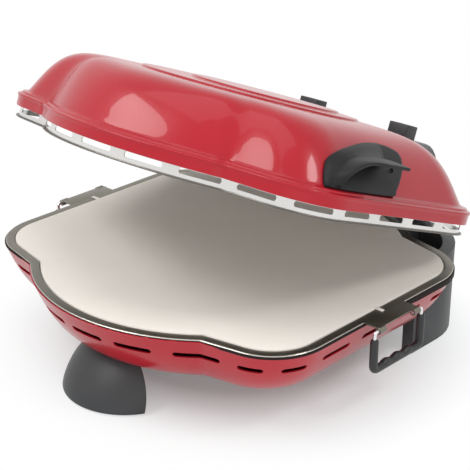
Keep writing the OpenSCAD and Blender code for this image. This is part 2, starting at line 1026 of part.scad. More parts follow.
function cap_outline(inset) = concat(
    [[-cap_half + inset, cap_low], [cap_half - inset, cap_low]],
    [for (i = [0 : cap_steps])
        [cap_flat + (cap_half - cap_flat - inset) * cos(90 * i / cap_steps),
         cap_low + cap_corner_z + (cap_top - cap_low - cap_corner_z - inset) * sin(90 * i / cap_steps)]],
    [for (i = [cap_steps : -1 : 0])
        [-cap_flat - (cap_half - cap_flat - inset) * cos(90 * i / cap_steps),
         cap_low + cap_corner_z + (cap_top - cap_low - cap_corner_z - inset) * sin(90 * i / cap_steps)]]
);

module lid_rear_housing() {
    color("dimgray")
        on_lid()
            difference() {
                translate([0, cap_back, 0])
                    rotate([90, 0, 0])
                        linear_extrude(cap_back - cap_front) polygon(cap_outline(0));
                translate([0, cap_back - wall, -1])
                    rotate([90, 0, 0])
                        linear_extrude(cap_back - cap_front) polygon(cap_outline(wall));
                dome_solid(0.1);
                translate([0, 0, -1]) linear_extrude(dome_z + 1.2) polygon(outline(band_off + band_bead + 0.2));
            }
}

rest_w = 20.5;
rest_l = 16.5;
rest_x = 53;
rest_y = edge_y - 13;

module lid_rest() {
    translate([rest_x - rest_w / 2, rest_y - rest_l / 2, cap_top]) cube([rest_w, rest_l, rest_h]);
}

module lid_rest_right() { color("black") on_lid() lid_rest(); }
module lid_rest_left() { color("black") on_lid() mirror([1, 0, 0]) lid_rest(); }

axis_z = hinge_z - lid_lift;
arm_top = 24;
arm_t = 3.5;

module hinge_arm() {
    translate([hinge_x - arm_w / 2, 0, 0])
        difference() {
            rotate([90, 0, 90])
                linear_extrude(arm_w) {
                    translate([hinge_y, axis_z]) circle(knuckle_r);
                    translate([cap_back, axis_z]) square([arm_t, arm_top - axis_z]);
                }
            translate([-1, hinge_y, axis_z]) rotate([0, 90, 0]) cylinder(r = pin_r + fit, h = arm_w + 2);
        }
}

module hinge_arm_right() { color("dimgray") on_lid() hinge_arm(); }
module hinge_arm_left() { color("dimgray") on_lid() mirror([1, 0, 0]) hinge_arm(); }

module arm_screws() {
    color("silver")
        on_lid()
            both_sides()
                for (side = [-1, 1])
                    translate([hinge_x + side * arm_w / 4, cap_back + arm_t, arm_top - 6])
                        rotate([-90, 0, 0])
                            cylinder(r = head_r, h = head_h);
}

module lid_wires() {
    color("white")
        on_lid()
            for (side = [-1, 1]) {
                knee = [side * lead_x, lead_y, upper_z];
                lead_run(upper_z, knee);
                rod(knee, knee + [0, cap_back - wall - lead_y - 2, 0], lead_r);
            }
}

// ---- place on the table ---------------------------------------------------------------------

// The plan's origin lies where the standing cooker's depth is halved.
front_reach = edge_y + rim_off;
rear_reach = hinge_y + cos(lid_open) * (cap_back - hinge_y) + sin(lid_open) * (cap_top + lid_lift - hinge_z);
plan_y = (front_reach - rear_reach) / 2;

base_shell();
rim_gasket();
tray();
pizza_stone();
lower_reflector();
reflector_spacers();
lower_heater();
lower_heater_brackets();
lower_cutout();
bottom_cover();
bottom_screws();
front_foot();
rear_leg_left();
rear_leg_right();
rear_housing();
foot_pads();
hinge_pin_left();
hinge_pin_right();
terminal_block();
base_wires();
cord_gland();
thermostat();
dial_plate();
thermostat_knob();
lamp_lens();
bail_wire_left();
bail_wire_right();
bail_sleeve_left();
bail_sleeve_right();
lid_shell();
lid_skirt();
lid_reflector();
upper_heater();
upper_heater_brackets();
upper_cutout();
lid_wires();
lid_grip();
lid_rear_housing();
lid_rest_left();
lid_rest_right();
hinge_arm_left();
hinge_arm_right();
arm_screws();
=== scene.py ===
"""Looks for the electric pizza maker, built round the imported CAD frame."""

import math

import bmesh
import bpy
import numpy as np
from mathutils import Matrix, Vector


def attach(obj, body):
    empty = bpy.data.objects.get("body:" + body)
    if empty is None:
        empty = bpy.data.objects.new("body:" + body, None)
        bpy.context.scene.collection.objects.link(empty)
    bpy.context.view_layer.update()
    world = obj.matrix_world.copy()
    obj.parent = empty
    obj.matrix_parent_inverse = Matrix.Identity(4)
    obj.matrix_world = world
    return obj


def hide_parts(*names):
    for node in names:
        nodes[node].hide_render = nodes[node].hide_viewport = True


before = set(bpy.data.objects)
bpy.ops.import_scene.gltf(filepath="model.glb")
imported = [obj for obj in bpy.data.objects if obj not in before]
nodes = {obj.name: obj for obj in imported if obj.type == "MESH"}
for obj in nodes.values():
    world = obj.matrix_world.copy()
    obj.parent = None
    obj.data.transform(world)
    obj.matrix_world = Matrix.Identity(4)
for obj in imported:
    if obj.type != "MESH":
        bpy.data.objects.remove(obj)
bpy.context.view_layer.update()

# ---- measurements in millimetres, the same as the part's source ------------------------------

# The plan outline: an arc at the front and rear, and two lobes with round corners.
ARC_R, ARC_SHIFT, LOBE_REACH, LOBE_SLANT = 145.0, 18.0, 143.5, 12.0
HALF_W, CORNER_R = 165.0, 40.0
EDGE_Y = ARC_R + ARC_SHIFT

# Stone and tray. Heights are from the stone's top, and offsets are from its outline.
STONE_TOP, STONE_T, LUG_W = 85.0, 14.0, 3.4
FLANGE_TOP, FLANGE_W = -1.0, 8.0
TRAY_OFF = FLANGE_W + 0.4
TRAY_GAP, SHEET, LEDGE_W, BEAD_DROP = 0.6, 1.0, 14.0, 1.3

# Bowl. Its slots are placed by their distance along the outline from the middle of the front.
RIM_OFF, RIM_Z, LIP_INNER = 9.5, -3.1, 2.5
BOWL_DEPTH, BOWL_POWER, BOWL_EASE, SHELL_T = 51.0, 11.2, 1.12, 1.2
SLOT_DROP, SLOT_L, SLOT_H, SLOT_PITCH = 14.4, 34.0, 5.0, 46.0
FRONT_SLOTS, NOTCH_SLOT = (-38.0, 7.0, 53.0), 108.0
CORNER_SLOTS, SIDE_SLOTS, REAR_SLOTS = (155.0, 191.0), (237.0, 287.0), 16
WALL_START = -61.0

# Tabs and bails.
TAB_HALF, TAB_L, CURL_L = 26.0, 14.0, 8.0
WIRE_R, SLEEVE_R, BAIL_DROP, BAIL_SIDE = 1.5, 3.4, 33.0, 4.0
TRAY_X = HALF_W + TRAY_OFF
PIVOT_X = TRAY_X + TAB_L
CURL_R = WIRE_R + 1.4
PIVOT_Z = FLANGE_TOP - CURL_R + 0.4
BAIL_Y, BAIL_LOW = TAB_HALF + BAIL_SIDE, PIVOT_Z - BAIL_DROP
SLEEVE_TOP = PIVOT_Z - 6.0
WAVE_END, WAVE_COUNT, WAVE_DEPTH = BAIL_Y - 9.0, 3, 1.7

# Lid, with heights from its own lower plane.
HINGE_Y, HINGE_Z, LID_LIFT, LID_OPEN = 180.5, -1.5, 9.85, 21.3
BAND_OFF, BAND_BEAD = 11.0, 1.0
DOME_OFF, DOME_Z, DOME_H, DOME_POWER, DOME_EASE, CROWN_LEAD = 6.0, 11.0, 49.0, 10.0, 1.5, 50.0
RING_R, RING_Y, STEP_RISE = 94.0, -8.0, 1.6
INNER_RING_R, INNER_RING_Y = RING_R * 0.69, 12.0
SKIRT_OFF, SKIRT_H, SKIRT_T, SKIRT_ROLL, LIP_H = 7.0, 9.5, 0.8, 2.4, 1.4
VENT_COUNT, VENT_L, VENT_H, VENT_Z = 25, 33.0, 4.4, -0.3 * SKIRT_H
CAP_TOP = DOME_Z + DOME_H - 8.0
CAP_BACK = EDGE_Y + BAND_OFF + BAND_BEAD + 3.0

# Front foot.
FOOT_R, FOOT_Y, FOOT_Z, FOOT_WALL = 55.0, -117.0, -84.0, 3.0
FOOT_LEAN, FOOT_TAPER = 46.0, 0.38
FOOT_RISE = RIM_Z - BOWL_DEPTH - FOOT_Z + 34.0
FOOT_BACK, FOOT_CUT_LEAN = 27.0, 17.0


def plan_shift():
    """How far the plan's centre lies behind the row's origin."""
    front = EDGE_Y + RIM_OFF
    tilt = math.radians(LID_OPEN)
    reach = HINGE_Y + math.cos(tilt) * (CAP_BACK - HINGE_Y) + math.sin(tilt) * (CAP_TOP + LID_LIFT - HINGE_Z)
    return (front - reach) / 2


PLAN_Y = plan_shift()
MM = 0.001
WELD = 0.00002
SMOOTH_BELOW = 35.0


def in_plan(points):
    """Plan millimetres to metres in the row's frame."""
    return (np.asarray(points, float) + [0, PLAN_Y, STONE_TOP]) * MM


def on_lid(points):
    """The lid's own millimetres to metres in the row's frame."""
    tilt = math.radians(LID_OPEN)
    c, s = math.cos(tilt), math.sin(tilt)
    p = np.asarray(points, float) - [0, HINGE_Y, HINGE_Z - LID_LIFT]
    turned = np.stack([p[:, 0], c * p[:, 1] + s * p[:, 2], -s * p[:, 1] + c * p[:, 2]], axis=1)
    return in_plan(turned + [0, HINGE_Y, HINGE_Z])


# ---- plan outline ----------------------------------------------------------------------------


def heading(angle):
    """The direction at an angle in degrees from the front, turning to the right."""
    angle = np.radians(angle)
    return np.stack([np.sin(angle), -np.cos(angle)], axis=-1)


def right_half(off, arc_n=28, corner_n=18, side_n=8):
    """The right half of the plan outline, from the middle of the front to the middle of the rear."""
    slant = math.radians(LOBE_SLANT)
    notch_reach = LOBE_REACH + off - ARC_SHIFT * math.cos(slant)
    notch = LOBE_SLANT + math.degrees(math.acos(notch_reach / (ARC_R + off)))
    corner = np.array([HALF_W - CORNER_R, 0.0])
    corner[1] = (corner[0] * math.sin(slant) + CORNER_R - LOBE_REACH) / math.cos(slant)
    arc = np.array([0, -ARC_SHIFT]) + (ARC_R + off) * heading(np.linspace(0, notch, arc_n + 1))
    bend = corner + (CORNER_R + off) * heading(np.linspace(LOBE_SLANT, 90, corner_n + 1))
    edge = arc[-1] + (bend[0] - arc[-1]) * np.linspace(0, 1, side_n + 2)[1:-1, None]
    half_side = bend[-1] * np.stack([np.ones(side_n), np.linspace(1, 0, side_n + 2)[1:-1]], axis=1)
    quarter = np.concatenate([arc, edge, bend, half_side])
    middle = bend[-1:] * [1, 0]
    return np.concatenate([quarter, middle, quarter[::-1] * [1, -1]])


def outline(off, arc_n=28, corner_n=18, side_n=8):
    """The closed plan outline, offset outwards; the order is the same for every offset."""
    right = right_half(off, arc_n, corner_n, side_n)
    return np.concatenate([right, right[1:-1][::-1] * [-1, 1]])


def rounded(s, power, ease):
    """The rise of a rounded shell at a share of its outline: 1 at the middle and 0 at the rim."""
    return np.power(np.clip(1 - np.power(s, power), 0, 1), ease)


def shares(n, centre=0.02):
    """Shares of the outline from the centre out, closer together towards the rim."""
    t = np.linspace(0, 1, n + 1)
    return centre + (1 - centre) * (1 - (1 - t) ** 2)


def at_height(flat, z):
    return np.concatenate([flat, np.full((len(flat), 1), z)], axis=1)


def ring(off, z, s=1.0):
    """The plan outline at a height, offset outwards and then shrunk to a share of its size."""
    return at_height(outline(off) * s, z)


def ramp(value, start, end):
    """0 before the start, 1 after the end, and rising evenly in between."""
    return np.clip((value - start) / (end - start), 0, 1)


def s_curve(t):
    return t * t * (3 - 2 * t)


def bell(value, middle, width):
    return np.exp(-(((value - middle) / width) ** 2))


def distances_along(path):
    """How far along a path each of its points lies."""
    return np.concatenate([[0], np.cumsum(np.linalg.norm(np.diff(path, axis=0), axis=1))])


def closed_path(path):
    return np.concatenate([path, path[:1]])


def walk(path, distances):
    """Points at given distances along a closed outline."""
    closed = closed_path(path)
    length = distances_along(closed)
    d = np.mod(distances, length[-1])
    return np.stack([np.interp(d, length, closed[:, k]) for k in (0, 1)], axis=1)


def stations_from(start, length):
    """How far an outline's points lie from a start, round the outline, in rising order."""
    return sorted(float((v - start) % length[-1]) for v in length[:-1])


# ---- mesh helpers ----------------------------------------------------------------------------


def new_mesh(name, points, faces):
    mesh = bpy.data.meshes.new(name)
    mesh.from_pydata([tuple(p) for p in points], [], faces)
    return mesh


def linked(name, data):
    """A new object of the scene that shows the data."""
    obj = bpy.data.objects.new(name, data)
    bpy.context.scene.collection.objects.link(obj)
    return obj


def shade_smooth(mesh, sharp):
    mesh.polygons.foreach_set("use_smooth", [True] * len(mesh.polygons))
    mesh.set_sharp_from_angle(angle=math.radians(sharp))


def add_mesh(name, points, faces, material, body, node=None, slot=None, sharp=SMOOTH_BELOW, closed=True):
    """An object of its own; the faces of closed meshes are turned outwards."""
    mesh = new_mesh(name, points, faces)
    mesh.validate()
    bm = bmesh.new()
    bm.from_mesh(mesh)
    bmesh.ops.remove_doubles(bm, verts=bm.verts, dist=WELD)
    if closed:
        bmesh.ops.recalc_face_normals(bm, faces=bm.faces)
    bm.to_mesh(mesh)
    bm.free()
    return add_object(name, mesh, material, body, node, slot, sharp)


def add_object(name, mesh, material, body, node=None, slot=None, sharp=SMOOTH_BELOW):
    obj = linked(name, mesh)
    mesh.materials.clear()
    mesh.materials.append(material)
    shade_smooth(mesh, sharp)
    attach(obj, body)
    if node:
        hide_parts(*([node] if isinstance(node, str) else node))
    return obj


def grid_faces(rows, columns, closed=True, ends=(False, False), wrap=False):
    """Quads between rows of equal length, seen from outside when the rows run outwards or up."""
    faces = []
    for r in range(rows if wrap else rows - 1):
        after = (r + 1) % rows * columns
        for c in range(columns if closed else columns - 1):
            d = (c + 1) % columns
            faces.append((r * columns + c, r * columns + d, after + d, after + c))
    if ends[0]:
        faces.append(tuple(range(columns - 1, -1, -1)))
    if ends[1]:
        start = (rows - 1) * columns
        faces.append(tuple(range(start, start + columns)))
    return faces


def closed_band(profile):
    """A solid band round the plan outline, whose cross-section is a closed profile of (off, z)."""
    rings = [ring(off, z) for off, z in profile]
    return np.concatenate(rings), grid_faces(len(rings), len(rings[0]), wrap=True)


def lofted(rings, ends=(True, True)):
    """A skin through rings of equal length, closed at the ends that are asked for."""
    return np.concatenate(rings), grid_faces(len(rings), len(rings[0]), ends=ends)


def rounded_box(low, high, radius):
    """A box between two corners with every edge rounded."""
    bm = bmesh.new()
    bmesh.ops.create_cube(bm, size=1.0)
    low, high = np.asarray(low, float), np.asarray(high, float)
    for v in bm.verts:
        v.co = Vector((low + high) / 2 + np.array(v.co) * (high - low))
    bmesh.ops.bevel(bm, geom=list(bm.edges), offset=radius, segments=3, profile=0.5, affect="EDGES")
    points = np.array([v.co for v in bm.verts])
    faces = [tuple(v.index for v in f.verts) for f in bm.faces]
    bm.free()
    return points, faces


def tube(a, b, outer, inner, sides=32):
    """A round tube from a to b, with softened edges; its ends are square to the Y axis."""
    soft = 0.3
    angle = np.linspace(0, 2 * math.pi, sides, endpoint=False)
    wheel = np.stack([np.cos(angle), np.zeros(sides), np.sin(angle)], axis=1)
    a, b = np.asarray(a, float), np.asarray(b, float)
    inwards = soft * (b - a) / np.linalg.norm(b - a)
    profile = [
        (a + inwards, outer), (a, outer - soft), (a, inner),
        (b, inner), (b, outer - soft), (b - inwards, outer),
    ]
    rows = [end + r * wheel for end, r in profile]
    return np.concatenate(rows), grid_faces(len(rows), sides, wrap=True)


def extruded(profile, half_width):
    """A prism of a closed (y, z) profile, as wide to the left as to the right."""
    return lofted([np.insert(profile, 0, x, axis=1) for x in (-half_width, half_width)])


def modify(obj, kind, **settings):
    modifier = obj.modifiers.new(kind.lower(), kind)
    for key, value in settings.items():
        setattr(modifier, key, value)
    return modifier


def bake(obj, sharp):
    """Applies every modifier and shades the result smooth between its sharp edges."""
    bpy.context.view_layer.update()
    graph = bpy.context.evaluated_depsgraph_get()
    mesh = bpy.data.meshes.new_from_object(obj.evaluated_get(graph), depsgraph=graph)
    obj.modifiers.clear()
    old = obj.data
    obj.data = mesh
    bpy.data.meshes.remove(old)
    shade_smooth(mesh, sharp)
    return obj


def thickened(obj, thickness, sharp):
    """Gives a skin its thickness, on the inside."""
    modify(obj, "SOLIDIFY", thickness=thickness * MM, offset=-1.0)
    return bake(obj, sharp)


def bevelled(obj, width, segments, angle, sharp=SMOOTH_BELOW):
    """Rounds the edges that are sharper than the angle."""
    limit = math.radians(angle)
    modify(obj, "BEVEL", width=width * MM, segments=segments, limit_method="ANGLE", angle_limit=limit)
    return bake(obj, sharp)


def carve(obj, points, faces, sharp=SMOOTH_BELOW):
    """Takes a solid away from the object."""
    tool = linked("carving_tool", new_mesh("carving_tool", points, faces))
    modify(obj, "BOOLEAN", object=tool, operation="DIFFERENCE", solver="EXACT")
    bake(obj, sharp)
    mesh = tool.data
    bpy.data.objects.remove(tool)
    bpy.data.meshes.remove(mesh)
    return obj


def swept(path, radii, sides):
    """A round bar along a path of points, with one radius for each point."""
    path = np.asarray(path, float)
    tangent = np.gradient(path, axis=0)
    tangent /= np.linalg.norm(tangent, axis=1)[:, None]
    side = np.array([0.0, 0.0, 1.0]) if abs(tangent[0][2]) < 0.9 else np.array([0.0, 1.0, 0.0])
    rows = []
    for p, t, r in zip(path, tangent, radii):
        side = side - t * side.dot(t)
        side /= np.linalg.norm(side)
        other = np.cross(t, side)
        a = np.linspace(0, 2 * math.pi, sides, endpoint=False)
        rows.append(p + r * (np.cos(a)[:, None] * side + np.sin(a)[:, None] * other))
    return lofted(rows)


def merge(parts):
    """Several pairs of points and faces as one pair."""
    points, faces, start = [], [], 0
    for p, f in parts:
        points.append(np.asarray(p, float))
        faces += [tuple(i + start for i in face) for face in f]
        start += len(p)
    return np.concatenate(points), faces


def mirrored(points, faces):
    return np.asarray(points) * [-1, 1, 1], [tuple(reversed(f)) for f in faces]


# ---- materials -------------------------------------------------------------------------------


def joined(tree, operation, first, second):
    """The output of a math node that joins two values."""
    node = tree.nodes.new("ShaderNodeMath")
    node.operation = operation
    tree.links.new(first, node.inputs[0])
    tree.links.new(second, node.inputs[1])
    return node.outputs["Value"]


def seen_rays(tree):
    """1 for what the camera sees, straight or in metal and glass, and 0 for other light."""
    path = tree.nodes.new("ShaderNodeLightPath")
    seen = path.outputs["Is Camera Ray"]
    for ray in ("Is Glossy Ray", "Is Transmission Ray"):
        seen = joined(tree, "MAXIMUM", seen, path.outputs[ray])
    return seen


def show_mixed(tree, share, first, second, output):
    """Sends a mix of two shaders to the tree's output."""
    mix = tree.nodes.new("ShaderNodeMixShader")
    for socket, value in zip(mix.inputs, (share, first, second)):
        tree.links.new(value, socket)
    tree.links.new(mix.outputs["Shader"], tree.nodes[output].inputs["Surface"])


class Nodes:
    """A short way to write a material's node tree."""

    def __init__(self, name):
        self.material = bpy.data.materials.new(name)
        self.material.use_nodes = True
        self.tree = self.material.node_tree
        self.shader = self.tree.nodes["Principled BSDF"]
        coordinates = self.add("ShaderNodeTexCoord")
        self.place = coordinates.outputs["Object"]

    def add(self, kind, **inputs):
        node = self.tree.nodes.new(kind)
        for key, value in inputs.items():
            self.set(node, key, value)
        return node

    def set(self, node, key, value):
        """Links or sets the input with that name, written with underscores."""
        socket = node.inputs[key.replace("_", " ")]
        if isinstance(value, bpy.types.NodeSocket):
            self.tree.links.new(value, socket)
        else:
            socket.default_value = value

    def noise(self, scale, detail=4.0, stretch=None, roughness=0.5):
        place = self.place
        if stretch:
            place = self.add("ShaderNodeMapping", Vector=place, Scale=stretch).outputs["Vector"]
        made = self.add("ShaderNodeTexNoise", Vector=place, Scale=scale, Detail=detail, Roughness=roughness)
        return made.outputs["Fac"]

    def span(self, value, low, high, start=0.3, end=0.7):
        """The value, with its span from start to end stretched to run from low to high."""
        limits = {"From_Min": start, "From_Max": end, "To_Min": low, "To_Max": high}
        return self.add("ShaderNodeMapRange", Value=value, **limits).outputs["Result"]

    def mix(self, share, a, b):
        """The colour at a share of the way from a to b."""
        made = self.add("ShaderNodeMix")
        made.data_type = "RGBA"
        self.tree.links.new(share, made.inputs["Factor"])
        sockets = [s for s in made.inputs if s.type == "RGBA"]
        for socket, value in zip(sockets, (a, b)):
            if isinstance(value, bpy.types.NodeSocket):
                self.tree.links.new(value, socket)
            else:
                socket.default_value = (*value, 1)
        return [s for s in made.outputs if s.type == "RGBA"][0]

    def by_distance(self, near, far, low, high):
        """A value that rises from low to high between two distances from the middle of the scene."""
        place = self.add("ShaderNodeNewGeometry")
        reach = self.add("ShaderNodeVectorMath", Vector=place.outputs["Position"])
        reach.operation = "LENGTH"
        return self.span(reach.outputs["Value"], low, high, near, far)

    def bump(self, *layers):
        """Relief from layers of (height, strength, distance)."""
        normal = None
        for height, strength, distance in layers:
            made = self.add("ShaderNodeBump", Height=height, Strength=strength, Distance=distance)
            if normal is not None:
                self.tree.links.new(normal, made.inputs["Normal"])
            normal = made.outputs["Normal"]
        self.tree.links.new(normal, self.shader.inputs["Normal"])

    def surface(self, **inputs):
        """Sets the shader's inputs and gives the finished material."""
        for key, value in inputs.items():
            self.set(self.shader, key, value)
        return self.material


def shaded(colour, factor):
    return tuple(factor * c for c in colour)


def red_enamel():
    n = Nodes("red_enamel")
    cloud = n.noise(9.0, 3.0)
    fleck = n.noise(900.0, 2.0)
    colour = n.mix(n.span(cloud, 0, 1), (0.38, 0.006, 0.015), (0.42, 0.009, 0.020))
    n.bump((n.noise(120.0, 2.0), 0.05, 0.0004), (fleck, 0.02, 0.0001))
    return n.surface(
        Base_Color=colour, Roughness=n.span(cloud, 0.24, 0.3), Specular_IOR_Level=0.2,
        Coat_Weight=0.32, Coat_Roughness=0.035, Coat_IOR=1.5,
    )


def stone_material():
    n = Nodes("baking_stone")
    grain = n.noise(420.0, 6.0, roughness=0.7)
    patch = n.noise(14.0, 4.0)
    colour = n.mix(n.span(patch, 0, 1), (0.87, 0.82, 0.755), (0.83, 0.78, 0.715))
    speck = n.mix(n.span(grain, 0, 0.5, start=0.64, end=0.74), colour, (0.68, 0.62, 0.54))
    n.bump((grain, 0.25, 0.0004), (n.noise(1600.0, 2.0), 0.12, 0.0001))
    return n.surface(Base_Color=speck, Roughness=n.span(grain, 0.72, 0.92), Specular_IOR_Level=0.3)


def steel(name, colour, low, high, flatness, bump=0.04):
    """Bare metal with a roughness from low to high, in level streaks."""
    n = Nodes(name)
    streak = n.noise(60.0, 5.0, stretch=(1, 1, flatness))
    cloud = n.noise(12.0, 3.0)
    shade = n.mix(n.span(cloud, 0, 1), colour, shaded(colour, 0.86))
    n.bump((streak, bump, 0.0002))
    return n.surface(Base_Color=shade, Metallic=1.0, Roughness=n.span(streak, low, high))


def plastic(name, colour, low, high, grain=900.0, shine=0.4):
    """Finely grained plastic, rubber or paint with a roughness from low to high."""
    n = Nodes(name)
    fine = n.noise(grain, 3.0)
    cloud = n.noise(25.0, 3.0)
    shade = n.mix(n.span(cloud, 0, 1), colour, shaded(colour, 1.25))
    n.bump((fine, 0.1, 0.0002))
    return n.surface(Base_Color=shade, Roughness=n.span(cloud, low, high), Specular_IOR_Level=shine)


def ceramic(name, colour):
    n = Nodes(name)
    fine = n.noise(700.0, 3.0)
    shade = n.mix(n.span(n.noise(40.0), 0, 1), colour, shaded(colour, 0.9))
    n.bump((fine, 0.1, 0.0002))
    return n.surface(Base_Color=shade, Roughness=n.span(fine, 0.5, 0.7))


def amber_lens():
    n = Nodes("amber_lens")
    ribs = n.noise(300.0, 1.0, stretch=(1, 1, 8))
    n.bump((ribs, 0.3, 0.0003))
    shade = n.mix(n.span(n.noise(80.0), 0, 1), (0.8, 0.28, 0.03), (0.7, 0.2, 0.02))
    return n.surface(Base_Color=shade, Roughness=n.span(ribs, 0.12, 0.2), Transmission_Weight=0.5)


RED = red_enamel()
STONE = stone_material()
FLANGE = steel("tray_steel", (0.23, 0.215, 0.18), 0.28, 0.38, 6)
BRIGHT = steel("bright_steel", (0.78, 0.77, 0.75), 0.16, 0.26, 14)
# A lighter copy of the tray's steel: the white gleam along the rolled bead is a painted highlight.
HIGHLIT_BEAD_STEEL = steel("bead_steel_painted_highlight", (0.62, 0.59, 0.54), 0.2, 0.3, 6)
# A darker copy of the skirt's bright steel: the shadow and dark reflection along the rolled lip are painted
# shade.
SHADED_LIP_STEEL = steel("lip_steel_painted_shade", (0.18, 0.165, 0.15), 0.3, 0.42, 14)
LINER = steel("reflector_steel", (0.62, 0.60, 0.58), 0.3, 0.42, 10)
PLATED = steel("plated_steel", (0.62, 0.62, 0.62), 0.28, 0.4, 1)
CHROME = steel("chrome_wire", (0.85, 0.85, 0.86), 0.05, 0.1, 1, bump=0.01)
SHEATH = steel("heater_sheath", (0.16, 0.15, 0.15), 0.4, 0.6, 1, bump=0.2)
GREY_PAINT = plastic("grey_paint", (0.28, 0.28, 0.29), 0.4, 0.5)
BLACK = plastic("black_plastic", (0.032, 0.033, 0.035), 0.38, 0.46)
REST = plastic("rest_plastic", (0.030, 0.030, 0.032), 0.4, 0.5, grain=700.0)
PAD = plastic("pad_plastic", (0.014, 0.014, 0.015), 0.38, 0.46, grain=700.0, shine=0.15)
GRIP = plastic("grip_plastic", (0.022, 0.022, 0.023), 0.34, 0.42, grain=500.0)
RUBBER = plastic("gasket_rubber", (0.016, 0.011, 0.011), 0.5, 0.65, grain=600.0, shine=0.1)
WHITE_CERAMIC = ceramic("white_ceramic", (0.78, 0.75, 0.68))
LEAD = ceramic("glass_sleeve", (0.7, 0.68, 0.6))
AMBER = amber_lens()

# The looks of the part's own solids.
CAD_LOOKS = {
    PLATED: [
        "reflector_spacers", "lower_heater_brackets", "upper_heater_brackets", "bottom_screws",
        "arm_screws", "hinge_pin_left", "hinge_pin_right",
    ],
    SHEATH: ["lower_heater", "upper_heater"],
    BRIGHT: ["dial_plate", "lid_skirt"],
    LINER: ["lower_reflector", "lid_reflector"],
    WHITE_CERAMIC: ["lower_cutout", "upper_cutout", "terminal_block", "thermostat"],
    LEAD: ["base_wires", "lid_wires"],
    GREY_PAINT: ["bottom_cover"],
    RUBBER: ["foot_pads", "cord_gland", "rim_gasket"],
    BLACK: [
        "rear_housing", "front_foot", "rear_leg_left", "rear_leg_right", "thermostat_knob",
        "lid_rear_housing", "hinge_arm_left", "hinge_arm_right",
    ],
    REST: ["lid_rest_left", "lid_rest_right"],
    PAD: ["lid_grip"],
    GRIP: ["bail_sleeve_left", "bail_sleeve_right"],
    CHROME: ["bail_wire_left", "bail_wire_right"],
    AMBER: ["lamp_lens"],
    FLANGE: ["tray"],
    STONE: ["pizza_stone"],
    RED: ["base_shell", "lid_shell"],
}
for look, names in CAD_LOOKS.items():
    for name in names:
        nodes[name].data.materials.clear()
        nodes[name].data.materials.append(look)


# ---- bowl ------------------------------------------------------------------------------------


def slotted_wall(place_at, stations, levels, slots, low, high, radius):
    """A wall over stations (round the outline) and levels (up), with rounded slots left out of it."""
    mid, soft, clear = (low + high) / 2, 0.7 * radius, 0.5
    rows = sorted({*levels, low, mid - soft, mid, mid + soft, high})
    corners = [u for a, b in slots for u in (a, a + radius, b - radius, b)]
    outside = [u for u in stations if not any(a - clear < u < b + clear for a, b in slots)]
    inside = [u for u in stations if any(a + radius + clear < u < b - radius - clear for a, b in slots)]
    columns = np.array(sorted({*outside, *inside, *corners}))
    index = {u: i for i, u in enumerate(columns)}
    position = np.array([[u, z] for z in rows for u in columns])
    n = len(columns)
    bottom, lower, upper, top = (rows.index(z) for z in (low, mid - soft, mid + soft, high))
    # A slot has no cells between its ends. At each end the middle cells go too, their corners are drawn
    # in to the round end, and the cells above and below keep only the triangle that lies outside it.
    skip, swap = set(), {}
    for a, b in slots:
        first, last = index[a], index[b]
        skip.update((row, c) for row in range(bottom, top) for c in range(first + 1, last - 1))
        for end, inner, sign in ((first, first + 1, -1), (last, last - 1, 1)):
            cell = min(end, inner)
            skip.update((row, cell) for row in range(lower, upper))
            for row in (lower, upper):
                position[row * n + end][0] = columns[inner] + sign * soft
            swap[(bottom, cell)] = (lower * n + inner, bottom * n + inner)
            swap[(upper, cell)] = (upper * n + inner, top * n + inner)
    faces = []
    for row in range(len(rows) - 1):
        for c in range(n):
            if (row, c) in skip:
                continue
            a, b = row * n + c, row * n + (c + 1) % n
            face = [a, b, b + n, a + n]
            if (row, c) in swap:
                old, new = swap[(row, c)]
                face = list(dict.fromkeys(new if v == old else v for v in face))
            faces.append(tuple(face))
    used = sorted({v for f in faces for v in f})
    renumber = {v: k for k, v in enumerate(used)}
    return place_at(position[used]), [tuple(renumber[v] for v in f) for f in faces]


def bowl_share(z):
    """The share of the outline at a height on the bowl's outer side."""
    fraction = np.clip((RIM_Z - np.asarray(z, float)) / BOWL_DEPTH, 0, 1)
    return np.power(1 - np.power(fraction, 1 / BOWL_EASE), 1 / BOWL_POWER)


def bowl_ring(s):
    """The bowl's outer side at a share of its outline."""
    return ring(RIM_OFF, RIM_Z - BOWL_DEPTH * rounded(s, BOWL_POWER, BOWL_EASE), s)


def bowl_slots(total):
    """Where each slot begins and ends round the bowl; those at the rear share what is left evenly."""
    first = SIDE_SLOTS[-1] + SLOT_PITCH
    step = (total + FRONT_SLOTS[0] - SLOT_PITCH - first) / REAR_SLOTS
    spots = [(u, 1.0) for u in FRONT_SLOTS] + [(NOTCH_SLOT, 1.2)]
    spots += [(u, 0.65) for u in CORNER_SLOTS] + [(u, 1.0) for u in SIDE_SLOTS]
    spots += [(first + k * step, 0.9) for k in range(REAR_SLOTS + 1)]
    centres = [((u - WALL_START) % total, share * SLOT_L / 2) for u, share in spots]
    return sorted((u - half, u + half) for u, half in centres)


